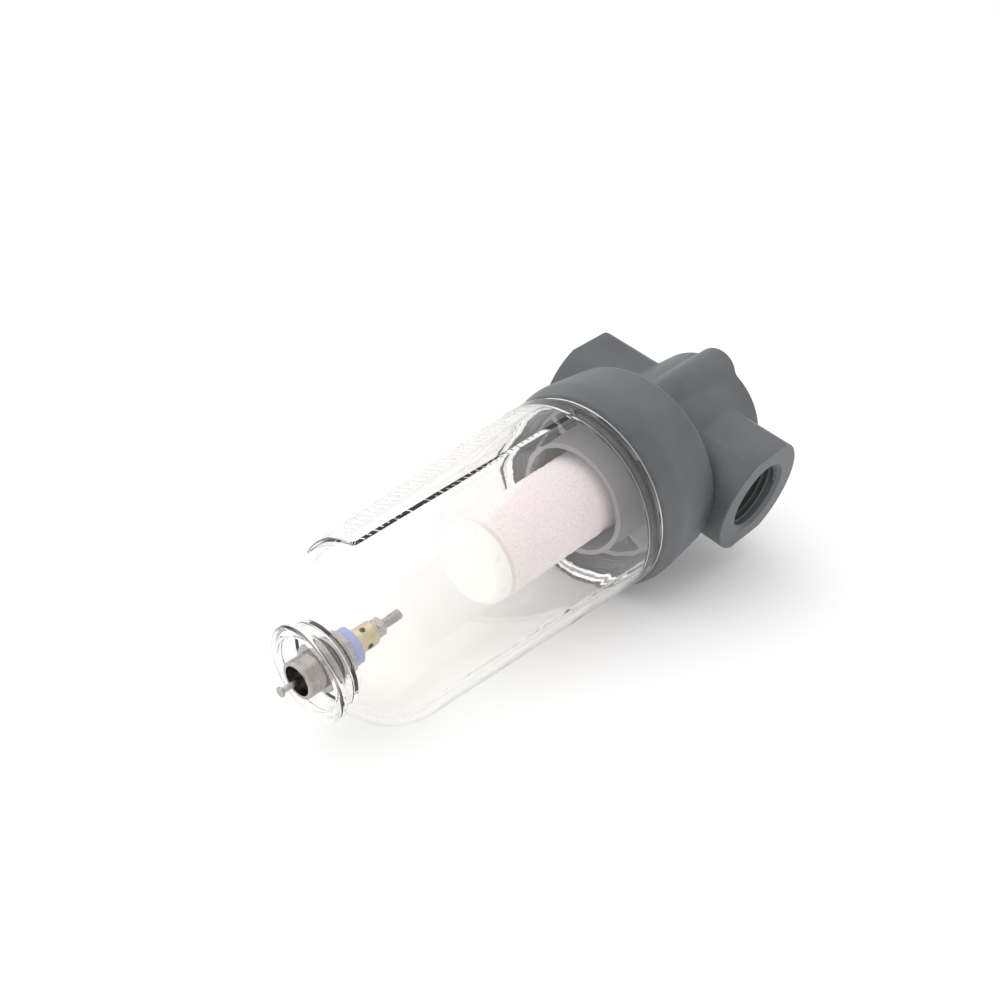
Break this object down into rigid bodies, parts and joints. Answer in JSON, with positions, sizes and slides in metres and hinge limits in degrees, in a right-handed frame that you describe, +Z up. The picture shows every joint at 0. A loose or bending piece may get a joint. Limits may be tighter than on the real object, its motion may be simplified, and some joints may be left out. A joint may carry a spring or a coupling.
{
  "type": "compressed air filter",
  "caption": "In-line compressed air filter with a cast head, screwed pipe ports, a clear screw-on bowl, a porous element under a swirl deflector and a push-up drain.",
  "frame": {"origin": "where the pipe line through the two ports crosses the bowl's axis", "axes": "+X along the pipe line from the inlet to the outlet, +Z up along the bowl's axis, the bowl hanging towards -Z"},
  "size_m": [0.0672, 0.0612, 0.1657],
  "materials": {
    "cast_paint": "fine-textured satin black coating on a die casting",
    "clear_polycarbonate": "clear moulded polycarbonate, polished",
    "black_nylon": "moulded nylon, satin",
    "porous_element": "sintered porous polyethylene, dull white",
    "cream_acetal": "moulded acetal, satin",
    "seal_rubber": "nitrile rubber, dull",
    "blue_seal": "blue seal compound, dull",
    "nickel_steel": "nickel plate, bright turned",
    "zinc_steel": "zinc plate, brushed",
    "turned_brass": "turned brass, satin"
  },
  "bodies": {
    "head": {"head": "cast_paint", "deflector": "black_nylon", "element_top_gasket": "seal_rubber", "filter_element": "porous_element", "element_bottom_gasket": "seal_rubber", "element_retainer": "cream_acetal", "centre_stud": "zinc_steel"},
    "bowl_seal": {"bowl_seal": "seal_rubber"},
    "bowl": {"bowl": "clear_polycarbonate", "drain_body": "nickel_steel", "drain_gasket": "seal_rubber", "drain_lock_washer": "zinc_steel", "drain_lock_nut": "nickel_steel", "drain_seal_ring": "blue_seal", "drain_sleeve": "turned_brass", "drain_spring": "nickel_steel"},
    "drain_stem": {"drain_stem": "nickel_steel", "drain_valve_seal": "seal_rubber", "drain_nut_washer": "zinc_steel", "drain_nut": "nickel_steel"}
  },
  "joints": [
    {"name": "bowl_lower", "type": "slide", "parent": "head", "child": "bowl_seal", "axis": [0, 0, -1], "range_m": [0, 0.008]},
    {"name": "bowl_turn", "type": "hinge", "parent": "bowl_seal", "child": "bowl", "pos_m": [0, 0, 0], "axis": [0, 0, -1], "range_deg": [0, 1440]},
    {"name": "drain_push", "type": "slide", "parent": "bowl", "child": "drain_stem", "axis": [0, 0, 1], "range_m": [0, 0.003], "stiffness_N_per_m": 300, "springref_m": -0.004, "deforming": ["drain_spring"]}
  ],
  "couplings": [
    {"joint": "bowl_turn", "follows": "bowl_lower", "rad_per_m": 3141.5}
  ]
}
